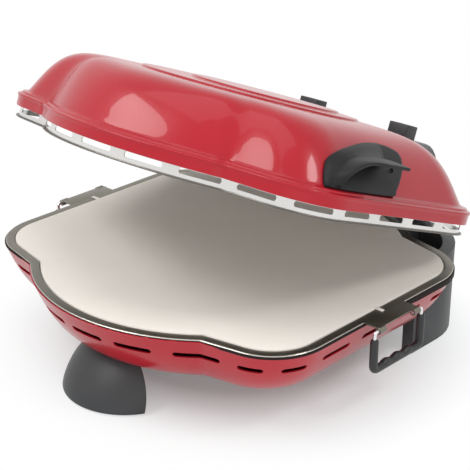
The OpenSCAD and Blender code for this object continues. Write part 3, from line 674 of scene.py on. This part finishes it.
def make_bowl():
    """The bowl: its slotted wall, the floor down to the bottom cover, and the lip under the seal."""
    path = outline(RIM_OFF)
    length = distances_along(closed_path(path))

    def place_at(uz):
        flat = walk(path, uz[:, 0] + WALL_START)
        s = bowl_share(uz[:, 1])
        return in_plan(np.concatenate([flat * s[:, None], uz[:, 1:]], axis=1))

    mid, half = RIM_Z - SLOT_DROP, SLOT_H / 2
    levels = [float(RIM_Z - BOWL_DEPTH * rounded(s, BOWL_POWER, BOWL_EASE)) for s in shares(26, 0.5)]
    levels = [z for z in levels if abs(z - mid) > half + 0.4 and z > RIM_Z - BOWL_DEPTH + 0.3]
    slots, stations = bowl_slots(float(length[-1])), stations_from(WALL_START, length)
    parts = [slotted_wall(place_at, stations, levels, slots, mid - half, mid + half, half)]
    floor = [bowl_ring(s) for s in (0.35, 0.5, 0.6, 0.66)]
    lip = [ring(RIM_OFF, RIM_Z), ring(RIM_OFF - 0.6, RIM_Z + 0.2), ring(LIP_INNER, RIM_Z + 0.2)]
    for rings in (floor, lip):
        points, faces = lofted(rings, ends=(False, False))
        parts.append((in_plan(points), faces))
    points, faces = merge(parts)
    bowl = add_mesh("bowl_enamel", points, faces, RED, "base", "base_shell", "red_enamel", closed=False)
    return thickened(bowl, SHELL_T, sharp=40)


# ---- tray, stone and seal --------------------------------------------------------------------


def make_tray():
    """The pan under the stone with its flange and tabs."""
    inner, outer = TRAY_GAP, TRAY_OFF
    top, low = FLANGE_TOP, FLANGE_TOP - SHEET
    pan = [
        (inner, top - 0.6), (inner + 0.2, top - 0.15), (inner + 0.7, top), (outer - 0.55, top),
        (outer - 0.4, top - 0.15), (outer - 0.4, top - 0.5), (outer - 1.0, low),
        (inner + SHEET, low), (inner + SHEET, -STONE_T - SHEET), (-LEDGE_W, -STONE_T - SHEET),
        (-LEDGE_W, -STONE_T), (inner, -STONE_T),
    ]
    parts = [closed_band(pan)]
    plate = rounded_box((TRAY_X - 1, -TAB_HALF, low), (PIVOT_X, TAB_HALF, top), 0.3)
    curls = [
        tube((PIVOT_X, y, PIVOT_Z), (PIVOT_X, y + CURL_L, PIVOT_Z), CURL_R, WIRE_R + 0.05)
        for y in (-TAB_HALF, TAB_HALF - CURL_L)
    ]
    for part in (plate, *curls):
        parts += [part, mirrored(*part)]
    points, faces = merge(parts)
    return add_mesh("tray_pan", in_plan(points), faces, FLANGE, "base", "tray", "tray_steel")


def make_bead():
    """The rolled edge of the tray's flange, in a lighter copy of the tray's steel that carries a painted
    highlight.
    """
    inner, outer = TRAY_OFF - 1.0, TRAY_OFF
    top, foot = FLANGE_TOP - 0.3, FLANGE_TOP - BEAD_DROP
    profile = [
        (inner, top - 0.6), (inner, top), (outer - 0.4, top), (outer - 0.15, top - 0.1), (outer, top - 0.3),
        (outer, foot + 0.3), (outer - 0.3, foot), (inner + 0.2, foot), (inner, foot + 0.3),
    ]
    points, faces = closed_band(profile)
    return add_mesh("tray_bead", in_plan(points), faces, HIGHLIT_BEAD_STEEL, "base", slot="tray_steel")


def make_stone():
    rings = [ring(-0.6, -STONE_T), ring(0, 0.6 - STONE_T), ring(0, -1.4), ring(-0.35, -0.45), ring(-1.4, 0)]
    rings += [ring(-1.4, 0, s) for s in (0.75, 0.5, 0.25)]
    lug = rounded_box((HALF_W - 1, -LUG_W / 2, FLANGE_TOP), (TRAY_X - 1, LUG_W / 2, -0.05), 0.4)
    points, faces = merge([lofted(rings), lug, mirrored(*lug)])
    return add_mesh("baking_stone", in_plan(points), faces, STONE, "base", "pizza_stone", "stone")


def make_seal():
    """The rubber seal, tucked under the bead at the front, with a lip that hangs lowest at the rear."""
    out, top = RIM_OFF, RIM_Z + 0.8
    side_hang, rear_hang = 0.3, 3.2
    # Where the lip starts to hang and where it hangs fully, to the side and to the rear.
    side_span, rear_span = (98, 120), (10, 40)
    profile = [
        (LIP_INNER + 2, RIM_Z + 0.2), (out - 1.2, RIM_Z + 0.2), (out - 1.1, RIM_Z - 0.2), (out, RIM_Z - 0.3),
        (out, top - 0.3), (out - 0.4, top), (LIP_INNER + 2, top),
    ]
    points, faces = closed_band(profile)
    side = ramp(np.abs(points[:, 0]), *side_span)
    rear = ramp(points[:, 1], *rear_span)
    outermost = np.repeat([off > out - 0.5 for off, _ in profile], len(points) // len(profile))
    tucked = outermost * (RIM_OFF - TRAY_OFF) * (1 - side) / np.linalg.norm(points[:, :2], axis=1)
    points[:, :2] *= 1 - tucked[:, None]
    hanging = points[:, 2] < RIM_Z
    points[:, 2] -= hanging * (side_hang * s_curve(side) + rear_hang * side * rear)
    return add_mesh("rim_seal", in_plan(points), faces, RUBBER, "base", "rim_gasket", "gasket_rubber")


# ---- bails -----------------------------------------------------------------------------------


def bend(points, radius):
    """A path through points with round corners."""
    path = [points[0]]
    for before, corner, after in zip(points, points[1:], points[2:]):
        u = (before - corner) / np.linalg.norm(before - corner)
        v = (after - corner) / np.linalg.norm(after - corner)
        for t in np.linspace(0, 1, 7):
            path.append(corner + radius * (u * (1 - t) ** 2 + v * t * t))
    return np.array([*path, points[-1]])


def refined(path, step):
    """The same path with points no further apart than a step."""
    out = [path[0]]
    for a, b in zip(path, path[1:]):
        n = max(1, int(np.ceil(np.linalg.norm(b - a) / step)))
        out += [a + (b - a) * k / n for k in range(1, n + 1)]
    return np.array(out)


def bail_path(ends, radius, step):
    """Points along the right bail, between its given ends at the front and round its two lower corners."""
    front = [(PIVOT_X, y, z) for y, z in [*ends, (-BAIL_Y, BAIL_LOW)]]
    rear = [(x, -y, z) for x, y, z in reversed(front)]
    return refined(bend(np.array(front + rear), radius), step)


def bail_wire():
    path = bail_path([(CURL_L - TAB_HALF, PIVOT_Z), (-BAIL_Y, PIVOT_Z)], radius=2.2, step=4)
    return swept(path, [WIRE_R] * len(path), sides=18)


def bail_sleeve():
    """The moulded sleeve, narrower at its ends, with waves for the fingers on the upper side of its bar."""
    path = bail_path([(-BAIL_Y, SLEEVE_TOP)], radius=5, step=1)
    away = np.minimum(np.arange(len(path)), np.arange(len(path))[::-1])
    taper = 0.8 * np.exp(-away / 0.7)
    points, faces = swept(path, SLEEVE_R - taper, sides=24)
    y, z = points[:, 1], points[:, 2]
    bar = ramp(WAVE_END - np.abs(y), 0, 4) * (z > BAIL_LOW + 0.5) * (z < BAIL_LOW + 10)
    points[:, 2] += bar * WAVE_DEPTH * np.sin(WAVE_COUNT * math.pi * (y / (2 * WAVE_END) + 0.5)) ** 2
    return points, faces


def make_bail(side):
    pieces = (("wire", bail_wire(), CHROME, "chrome_wire"), ("sleeve", bail_sleeve(), GRIP, "grip_plastic"))
    for name, mesh, look, slot in pieces:
        points, faces = mesh if side == "right" else mirrored(*mesh)
        node = f"bail_{name}_{side}"
        add_mesh(f"{node}_bent", in_plan(points), faces, look, f"bail_{side}", node, slot, sharp=50)


# ---- feet ------------------------------------------------------------------------------------


def foot_ring(t, wall):
    """The foot's round outline at a share of its height, inside its outer side by the wall."""
    r = FOOT_R * (1 - FOOT_TAPER * t ** 2) - wall
    round_foot = r * heading(np.linspace(0, 360, 96, endpoint=False))
    return at_height(round_foot + [0, FOOT_Y + FOOT_LEAN * t ** 1.4], FOOT_Z + FOOT_RISE * t)


def make_front_foot():
    """The hollow front foot, cut off by its leaning rear face and by the bowl."""
    rings = [foot_ring(0, 0.9), foot_ring(0.008, 0.2)]
    rings += [foot_ring(t, 0) for t in np.linspace(0.02, 1, 30)]
    rings += [foot_ring(t, FOOT_WALL) for t in np.linspace(1, 0, 24)]
    points, faces = np.concatenate(rings), grid_faces(len(rings), len(rings[0]), wrap=True)
    foot = add_mesh("front_foot_curved", in_plan(points), faces, BLACK, "base", "front_foot", "black_plastic")
    lean = math.tan(math.radians(FOOT_CUT_LEAN))
    back, below, beyond = FOOT_Y - FOOT_BACK, 5.0, 400.0
    behind = [
        (back - below * lean, FOOT_Z - below), (beyond, FOOT_Z - below), (beyond, FOOT_Z + beyond),
        (back + beyond * lean, FOOT_Z + beyond),
    ]
    points, faces = extruded(behind, beyond / 2)
    carve(foot, in_plan(points), faces)
    points, faces = lofted([*(bowl_ring(s) for s in shares(40, 0.1)), ring(RIM_OFF, 0)])
    carve(foot, in_plan(points), faces, sharp=40)
    return bevelled(foot, 0.5, segments=2, angle=50)


def softened(node, material, slot, width=0.8, body="base"):
    """A copy of a CAD node with its flat faces merged and its sharp edges rounded."""
    source = nodes[node]
    mesh = source.data.copy()
    mesh.transform(source.matrix_world)
    bm = bmesh.new()
    bm.from_mesh(mesh)
    bmesh.ops.remove_doubles(bm, verts=bm.verts, dist=WELD)
    bmesh.ops.dissolve_limit(bm, angle_limit=math.radians(1), verts=bm.verts, edges=bm.edges)
    bm.to_mesh(mesh)
    bm.free()
    soft = add_object(f"{node}_soft", mesh, material, body, node, slot)
    return bevelled(soft, width, segments=3, angle=35, sharp=30)


# ---- lid -------------------------------------------------------------------------------------

FINE = {"arc_n": 64, "corner_n": 28, "side_n": 14}
# The swell beside each notch, with its place and width on the round part and on the lobe.
NOTCH_SWELL, ROUND_SWELL, LOBE_SWELL, LOBE_SHARE = 1.5, (7, 4.5), (6, 3), 0.35
NOTCH_GROOVE, GROOVE_WIDTH = 0.7, 1.6
# How much and how far from a notch the wall is made steeper, and how its corners are rounded off.
NOTCH_HOLD, ROUND_HOLD, LOBE_HOLD, HOLD_FADE = 0.26, 45, 7, (0.3, 0.8)
EASE_REACH, RIM_PASSES, CROWN_PASSES = 30, 2, 18


def from_notch(path):
    """How far each point lies from its nearest notch, and whether it lies on a round part between two."""
    corner = np.abs(path[FINE["arc_n"]])
    return np.linalg.norm(np.abs(path) - corner, axis=1), np.abs(path[:, 0]) < corner[0]


def notch_relief(path):
    """How far the dome stands proud on both sides of each notch and is let in along it."""
    gap, between = from_notch(path)
    swell = np.where(between, bell(gap, *ROUND_SWELL), LOBE_SHARE * bell(gap, *LOBE_SWELL))
    return NOTCH_SWELL * swell - NOTCH_GROOVE * bell(gap, 0, GROOVE_WIDTH)


def notch_hold(path, s):
    """The dome's shrinking share, held back at the front beside each notch, so that its wall is steeper."""
    gap, between = from_notch(path)
    near = np.where(between, bell(gap, 0, ROUND_HOLD), bell(gap, 0, LOBE_HOLD)) * (path[:, 1] < 0)
    return s + NOTCH_HOLD * (1 - s) * near * s_curve(ramp(s, *HOLD_FADE))


def eased(path, flat, passes):
    """A ring whose notch corners are rounded off a little more with each pass."""
    near = bell(from_notch(path)[0], 0, EASE_REACH)[:, None]
    for _ in range(passes):
        flat = flat + 0.5 * near * ((np.roll(flat, 1, axis=0) + np.roll(flat, -1, axis=0)) / 2 - flat)
    return flat


def dome_ring(off, z, s, relief):
    """A level line of the dome, moved to the front as it shrinks towards the crown."""
    path, beyond = outline(off, **FINE), outline(off + 1, **FINE)
    shaped = path + (beyond - path) * (notch_relief(path) * relief)[:, None]
    held = notch_hold(path, s)[:, None]
    passes = int(RIM_PASSES + CROWN_PASSES * min(1, 6 * (1 - s)))
    return at_height(eased(path, shaped * held - [0, CROWN_LEAD] * (1 - held), passes), z)


def dome_share(x, y):
    """The share of the dome's outline that passes through points of the plan."""
    path = outline(DOME_OFF, **FINE)
    angle = np.arctan2(path[:, 1], path[:, 0])
    order = np.argsort(angle)
    low, high = np.zeros_like(x), np.full_like(x, 1.5)
    for _ in range(40):
        s = (low + high) / 2
        lead = y + CROWN_LEAD * (1 - s)
        reach = np.interp(np.arctan2(lead, x), angle[order], np.hypot(*path[order].T), period=2 * math.pi)
        inside = np.hypot(x, lead) <= s * reach
        high = np.where(inside, s, high)
        low = np.where(inside, low, s)
    return np.clip(low, 0, 1)


def dome_height(x, y):
    return DOME_Z + DOME_H * rounded(dome_share(x, y), DOME_POWER, DOME_EASE)


# The band and the hollow curve above it, outwards from BAND_OFF and up.
BAND_PROFILE = [
    (-0.5, 0.0), (-0.1, 0.1), (0.0, 0.5), (0.0, 6.6), (0.15, 7.7), (0.7, 8.6), (1.0, 9.4), (0.85, 10.1),
    (0.3, 10.6), (-0.8, 10.9), (-1.8, 11.2), (-2.3, 11.8), (-2.6, 12.4), (-3.3, 12.9), (-4.4, 13.1),
    (-5.9, 13.2),
]


def make_dome():
    """The enamelled lid from its band up to the crown."""
    rings = [dome_ring(BAND_OFF + out, z, 1.0, relief=0.8) for out, z in BAND_PROFILE]
    s_values = [s for s in 1 - (1 - np.linspace(0, 1, 70)) ** 2 if s > 0.03]
    heights = [DOME_Z + DOME_H * rounded(s, DOME_POWER, DOME_EASE) for s in s_values]
    wall_start = BAND_PROFILE[-1][1] + 0.5
    wall = [(s, z) for s, z in zip(s_values, heights) if z > wall_start][::-1]
    rings += [dome_ring(DOME_OFF, z, s, relief=s ** 3) for s, z in wall]
    points, faces = lofted(rings, ends=(False, True))
    dome = add_mesh("dome_enamel", on_lid(points), faces, RED, "lid", "lid_shell", "red_enamel", closed=False)
    return thickened(dome, SHELL_T, sharp=38)


def make_crown():
    """The two rings pressed into the crown, each a step up from what lies round it."""
    outer, inner, rise = RING_R, INNER_RING_R, STEP_RISE
    steps = [(outer + 0.6, -0.8), (outer, 0.25), (outer - 0.3, 0.8), (outer - 1.0, 1.35), (outer - 2.2, rise)]
    steps += [(r, rise) for r in np.linspace(outer - 5, inner + 3, 8)]
    steps += [(inner + 0.8, rise), (inner, rise + 0.35)]
    steps += [(inner - 0.7, 2 * rise - 0.25), (inner - 2, 2 * rise)]
    steps += [(r, 2 * rise) for r in np.linspace(inner - 6, 3, 10)]
    around = heading(np.linspace(0, 360, 144, endpoint=False))
    rows = []
    for r, height in steps:
        centre = np.interp(r, [inner + 1, outer - 4], [INNER_RING_Y, RING_Y])
        flat = r * around + [0, centre]
        z = dome_height(flat[:, 0], flat[:, 1]) + height
        rows.append(np.concatenate([flat, z[:, None]], axis=1))
    points, faces = lofted(rows, ends=(False, True))
    crown = add_mesh("crown_rings", on_lid(points), faces, RED, "lid", slot="red_enamel", closed=False)
    return thickened(crown, SHELL_T, sharp=38)


def make_skirt():
    """The steel skirt under the band, with its vents spread evenly round it."""
    path = outline(SKIRT_OFF)
    length = distances_along(closed_path(path))
    pitch = float(length[-1]) / VENT_COUNT
    start = pitch / 2
    centres = [pitch * (k + 0.5) for k in range(VENT_COUNT)]
    vents = [(u - VENT_L / 2, u + VENT_L / 2) for u in centres]

    def place_at(uz):
        return on_lid(np.concatenate([walk(path, uz[:, 0] + start), uz[:, 1:]], axis=1))

    levels = [-SKIRT_H, -SKIRT_H + LIP_H, 0.5, 4.0, DOME_Z - SHELL_T]
    low, high = VENT_Z - VENT_H / 2, VENT_Z + VENT_H / 2
    points, faces = slotted_wall(place_at, stations_from(start, length), levels, vents, low, high, 1.0)
    skirt = add_mesh("skirt_band", points, faces, BRIGHT, "lid", "lid_skirt", "bright_steel", closed=False)
    return thickened(skirt, SKIRT_T, sharp=35)


def make_skirt_lip():
    """The rolled edge along the foot of the skirt, in a darker copy of the skirt's steel that carries painted
    shade.
    """
    half = LIP_H / 2
    mid, turn = half - SKIRT_H, SKIRT_OFF + SKIRT_ROLL - half
    profile = [(SKIRT_OFF - 0.4, mid - half), (SKIRT_OFF - 0.4, mid + half), (turn, mid + half)]
    for angle in np.radians([60, 30, 0, -30, -60]):
        profile.append((turn + half * math.cos(angle), mid + half * math.sin(angle)))
    profile += [(turn, mid - half)]
    points, faces = closed_band(profile)
    return add_mesh("skirt_lip", on_lid(points), faces, SHADED_LIP_STEEL, "lid", slot="bright_steel")


GRIP_SCREW = (-13.0, 31.0)
# How far the pad, the foot of the brow and the root of its underside stand off the dome.
PAD_LIFT, BROW_FOOT_LIFT, BROW_ROOT_LIFT = 3.2, 3.4, 2.6
# From the rim and the root to the underside of the brow.
BROW_TURN, BROW_DROP = [0, 1.6, -2.6], [0, 3.0, -4.6]
# The outline of the pad from the side, and the crest and rim of the brow over it, from front to rear.
GRIP_EDGE = [
    (-98, 13), (-97, 19), (-95, 25), (-91, 32), (-80, 38), (-60, 43), (-39, 46.6), (-18, 48), (-2, 46.8),
    (8, 43.8), (7, 36), (1, 28), (-9, 18), (-21, 13),
]
GRIP_CREST = [
    (168.4, -92, 16), (165.6, -88.6, 24.7), (164.0, -81.5, 31.4), (163.0, -71.4, 36.7), (162.0, -56.9, 40.2),
    (161.5, -38.9, 41), (160.5, -25.5, 41),
]
GRIP_RIM = [
    (172, -87.6, 17.4), (177, -85.4, 28.3), (179, -79.2, 34.1), (180, -69.6, 38.1), (181, -58.4, 39.3),
    (182, -48.8, 39.4), (182.5, -20.5, 39.3),
]


def spline(points, n):
    """Points spaced evenly along a smooth curve through the given ones."""
    p = np.asarray(points, float)
    p = np.concatenate([[2 * p[0] - p[1]], p, [2 * p[-1] - p[-2]]])
    out = []
    for a, b, c, d in zip(p, p[1:], p[2:], p[3:]):
        square, cube = 2 * a - 5 * b + 4 * c - d, 3 * b - a - 3 * c + d
        for t in np.linspace(0, 1, 12, endpoint=False):
            out.append(0.5 * (2 * b + (c - a) * t + square * t * t + cube * t ** 3))
    out = np.array([*out, p[-2]])
    length = distances_along(out)
    at = np.linspace(0, length[-1], n)
    return np.stack([np.interp(at, length, out[:, k]) for k in range(p.shape[1])], axis=1)


def dome_side(y, z):
    """How far right the dome's surface lies at a place seen from the side."""
    y, z = np.asarray(y, float), np.asarray(z, float)
    drop = np.clip((z - DOME_Z) / DOME_H, 0, 0.999)
    s = np.power(1 - np.power(drop, 1 / DOME_EASE), 1 / DOME_POWER)
    right = right_half(DOME_OFF, **FINE)
    right = right[right[:, 0] > HALF_W / 3]
    return s * np.interp((y + CROWN_LEAD * (1 - s)) / s, right[:, 1], right[:, 0])


def on_dome(yz, lift):
    """Points on the side of the dome, lifted off its surface."""
    y, z = yz[:, 0], yz[:, 1]
    x, step = dome_side(y, z), 0.5
    slope_y = (dome_side(y + step, z) - dome_side(y - step, z)) / (2 * step)
    slope_z = (dome_side(y, z + step) - dome_side(y, z - step)) / (2 * step)
    normal = np.stack([np.ones_like(x), -slope_y, -slope_z], axis=1)
    normal /= np.linalg.norm(normal, axis=1)[:, None]
    return np.stack([x, y, z], axis=1) + normal * np.asarray(lift, float).reshape(-1, 1)


def grip_pad():
    """The pad on the side of the dome, with a rounded edge."""
    edge = spline([*GRIP_EDGE, GRIP_EDGE[0]], 120)[:-1]
    middle = edge.mean(axis=0)
    profile = [(1.0, -1.0), (1.0, PAD_LIFT - 1.0), (0.995, PAD_LIFT - 0.4), (0.975, PAD_LIFT)]
    profile += [(share, PAD_LIFT) for share in (0.93, 0.8, 0.6, 0.4, 0.2)]
    return lofted([on_dome(middle + (edge - middle) * share, lift) for share, lift in profile])


def blend(a, b, share, up=0.5):
    """The line at a share of the way from line a to line b, raised a little."""
    return (1 - share) * a + share * b + [0, 0, up]


def grip_brow():
    """The brow that the fingers lift, swept up out of the pad and open underneath."""
    n = 44
    foot = on_dome(spline(GRIP_EDGE[:8], n), BROW_FOOT_LIFT)
    crest, rim = spline(GRIP_CREST, n), spline(GRIP_RIM, n)
    root = on_dome(crest[:, 1:], BROW_ROOT_LIFT)
    inwards = (crest - rim) / np.linalg.norm(crest - rim, axis=1)[:, None]
    sections = [
        foot, blend(foot, crest, 0.45, 0.3) + [0.5, 0, 0], crest, blend(crest, rim, 0.35),
        blend(crest, rim, 0.7), rim, rim + inwards + BROW_TURN, root + BROW_DROP,
        blend(root, foot, 0.5, 0),
    ]
    faces = grid_faces(len(sections), n, closed=False, wrap=True)
    faces += [tuple(k * n + end for k in range(len(sections))) for end in (0, n - 1)]
    return np.concatenate(sections), faces


def make_grip():
    head = on_dome(np.array([GRIP_SCREW, GRIP_SCREW]), [PAD_LIFT - 0.6, PAD_LIFT + 0.5])
    points, faces = tube(*head, outer=1.9, inner=0.9, sides=24)
    add_mesh("grip_screw", on_lid(points), faces, SHEATH, "lid", slot="heater_sheath")
    points, faces = merge([grip_pad(), grip_brow()])
    grip = add_mesh("lid_grip_moulded", on_lid(points), faces, PAD, "lid", "lid_grip", "black_plastic")
    return bevelled(grip, 0.5, segments=2, angle=40)


make_bowl()
make_tray()
make_bead()
make_stone()
make_seal()
make_bail("left")
make_bail("right")
make_front_foot()
make_dome()
make_crown()
make_skirt()
make_skirt_lip()
make_grip()
for name in ("rear_leg_left", "rear_leg_right", "rear_housing"):
    softened(name, BLACK, "black_plastic")
softened("thermostat_knob", BLACK, "black_plastic", width=0.5, body="knob")
for name in ("lid_rest_left", "lid_rest_right"):
    softened(name, REST, "rest_plastic", body="lid")
for name in ("lid_rear_housing", "hinge_arm_left", "hinge_arm_right"):
    softened(name, BLACK, "black_plastic", body="lid")


# ---- floor, light and camera -----------------------------------------------------------------

WHITE = (1, 1, 1, 1)
FLOOR_SIZE = 4.0
# From this distance to that, in metres, the floor's glow rises by these shares to plain white.
FLOOR_GLOW = (0.11, 0.23, 0.12, 1.0)
WORLD_STRENGTH = 0.5

# Each lamp's place, the height that it aims at, its size and its power.
LAMPS = {
    "top_box": ((-0.1, -0.2, 1.6), 0.15, (1.2, 0.9), 4.0),
    "front_box": ((-0.48, -0.72, 1.14), 0.12, (0.9, 0.36), 7.5),
    "right_box": ((0.89, 0.16, 1.07), 0.12, (0.3, 0.25), 3.0),
    "fill_box": ((1.1, -1.0, 0.40), 0.12, (1.0, 0.7), 7.0),
}
# These lamps light the part but aren't mirrored in it.
UNMIRRORED = ("fill_box",)


def make_floor():
    """A floor that keeps the shadow near the part and looks plain white further out."""
    points = [(x * FLOOR_SIZE, y * FLOOR_SIZE, 0) for x, y in ((-1, -1), (1, -1), (1, 1), (-1, 1))]
    floor = linked("floor", new_mesh("floor", points, [(0, 1, 2, 3)]))
    n = Nodes("floor_white")
    n.bump((n.noise(300.0), 0.02, 0.0002))
    # The floor's colour is tinted blue-green as a painted counter to the red light that the bowl throws on
    # it, so that the shadow looks grey.
    floor.data.materials.append(
        n.surface(Base_Color=(0.85, 0.93, 0.92, 1), Roughness=0.9, Specular_IOR_Level=0.0)
    )
    glow = n.add("ShaderNodeEmission", Color=WHITE, Strength=1.0)
    share = joined(n.tree, "MULTIPLY", seen_rays(n.tree), n.by_distance(*FLOOR_GLOW))
    show_mixed(n.tree, share, n.shader.outputs["BSDF"], glow.outputs["Emission"], "Material Output")


def make_world():
    """Soft white light on the part, and plain white for what the camera sees."""
    world = bpy.data.worlds.new("studio")
    bpy.context.scene.world = world
    world.use_nodes = True
    tree = world.node_tree
    light, backdrop = tree.nodes["Background"], tree.nodes.new("ShaderNodeBackground")
    for node, strength in ((light, WORLD_STRENGTH), (backdrop, 1.0)):
        node.inputs["Color"].default_value = WHITE
        node.inputs["Strength"].default_value = strength
    shaders = light.outputs["Background"], backdrop.outputs["Background"]
    show_mixed(tree, seen_rays(tree), *shaders, "World Output")


def make_lamp(name, place, aim_height, size, power):
    """A rectangular soft lamp that aims over the scene's middle."""
    data = bpy.data.lights.new(name, "AREA")
    data.shape, data.energy = "RECTANGLE", power
    data.size, data.size_y = size
    lamp = linked(name, data)
    lamp.location = place
    lamp.visible_glossy = name not in UNMIRRORED
    lamp.rotation_euler = (Vector((0, 0, aim_height)) - Vector(place)).to_track_quat("-Z", "Y").to_euler()


def make_camera():
    azimuth, elevation, distance = math.radians(43.49), math.radians(24.41), 1.1857
    focal_px, width_px, centre_px = 1367.0, 470.0, (224.84, 247.93)
    back = Vector((
        math.sin(azimuth) * math.cos(elevation), -math.cos(azimuth) * math.cos(elevation), math.sin(elevation)
    ))
    data = bpy.data.cameras.new("camera")
    data.sensor_width = 36.0
    data.lens = focal_px / width_px * data.sensor_width
    data.shift_x = (width_px / 2 - centre_px[0]) / width_px
    data.shift_y = (centre_px[1] - width_px / 2) / width_px
    camera = linked("camera", data)
    camera.location = Vector((0, PLAN_Y * MM, STONE_TOP * MM)) + back * distance
    camera.rotation_euler = (-back).to_track_quat("-Z", "Y").to_euler()
    bpy.context.scene.camera = camera


make_floor()
make_world()
make_camera()
for name, lamp in LAMPS.items():
    make_lamp(name, *lamp)
bpy.context.scene.view_settings.view_transform = "Standard"
